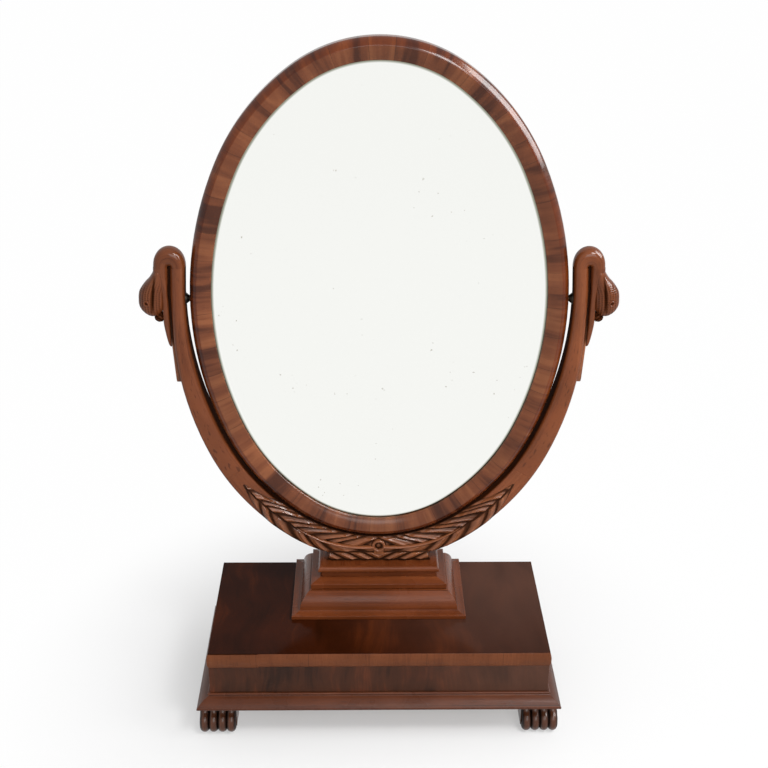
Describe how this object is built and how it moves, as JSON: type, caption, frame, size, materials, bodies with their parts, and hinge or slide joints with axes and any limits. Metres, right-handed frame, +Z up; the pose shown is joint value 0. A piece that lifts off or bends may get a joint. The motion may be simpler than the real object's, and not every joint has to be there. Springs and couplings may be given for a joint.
{
  "type": "dressing table mirror",
  "caption": "Oval swing mirror in a crossbanded mahogany frame between swan-head arms, on a carved yoke, stepped plinth and box base with reeded scroll feet.",
  "frame": {"origin": "on the floor, under the middle of the whole mirror's box", "axes": "+X to the viewer's right, -Y to the front where the glass faces, +Z up"},
  "size_m": [0.5426, 0.2064, 0.7984],
  "materials": {
    "silvered_glass": "silvered plate glass, a few age spots",
    "dark_iron": "blackened, satin",
    "brass_bush": "dull",
    "steel_screw": "slotted, tarnished",
    "pine": "stained softwood, unpolished",
    "beech_dowel": "plain",
    "crossbanded_mahogany": "veneer laid across the edge, french polished",
    "flame_mahogany": "dark flame veneer, french polished",
    "carved_mahogany": "carved solid wood, dark in the hollows, polished",
    "polished_mahogany": "solid wood, french polished"
  },
  "bodies": {
    "stand": {"arm_dowels": "beech_dowel", "base_moulding_front": "polished_mahogany", "base_moulding_left": "polished_mahogany", "base_moulding_right": "polished_mahogany", "base_top": "flame_mahogany", "bottom_board": "pine", "corner_blocks": "pine", "foot_back_left": "carved_mahogany", "foot_back_right": "carved_mahogany", "foot_dowels": "beech_dowel", "foot_front_left": "carved_mahogany", "foot_front_right": "carved_mahogany", "frieze_back": "flame_mahogany", "frieze_front": "flame_mahogany", "frieze_left": "flame_mahogany", "frieze_right": "flame_mahogany", "head_dowels": "beech_dowel", "head_slip_left": "carved_mahogany", "head_slip_right": "carved_mahogany", "leaf_fan_left": "carved_mahogany", "leaf_fan_right": "carved_mahogany", "leaf_spray_left": "carved_mahogany", "leaf_spray_right": "carved_mahogany", "pivot_pin_left": "dark_iron", "pivot_pin_right": "dark_iron", "plinth_cap": "polished_mahogany", "plinth_core": "polished_mahogany", "plinth_lower_back": "polished_mahogany", "plinth_lower_front": "polished_mahogany", "plinth_lower_left": "polished_mahogany", "plinth_lower_right": "polished_mahogany", "plinth_screws": "steel_screw", "plinth_upper_back": "polished_mahogany", "plinth_upper_front": "polished_mahogany", "plinth_upper_left": "polished_mahogany", "plinth_upper_right": "polished_mahogany", "ring_boss": "carved_mahogany", "swan_head_left": "carved_mahogany", "swan_head_right": "carved_mahogany", "top_edge_front": "crossbanded_mahogany", "top_edge_left": "crossbanded_mahogany", "top_edge_right": "crossbanded_mahogany", "yoke_arm_left": "polished_mahogany", "yoke_arm_right": "polished_mahogany", "yoke_dowels": "beech_dowel", "yoke_middle": "carved_mahogany"},
    "mirror": {"backboard": "pine", "backboard_screws": "steel_screw", "frame_bottom": "crossbanded_mahogany", "frame_lower_left": "crossbanded_mahogany", "frame_lower_right": "crossbanded_mahogany", "frame_side_left": "crossbanded_mahogany", "frame_side_right": "crossbanded_mahogany", "frame_top": "crossbanded_mahogany", "frame_upper_left": "crossbanded_mahogany", "frame_upper_right": "crossbanded_mahogany", "glass_wedges": "pine", "mirror_glass": "silvered_glass", "pivot_bush_left": "brass_bush", "pivot_bush_right": "brass_bush"}
  },
  "joints": [
    {"name": "mirror_tilt", "type": "hinge", "parent": "stand", "child": "mirror", "pos_m": [0, 0.0405, 0.5096], "axis": [1, 0, 0], "continuous": true}
  ]
}
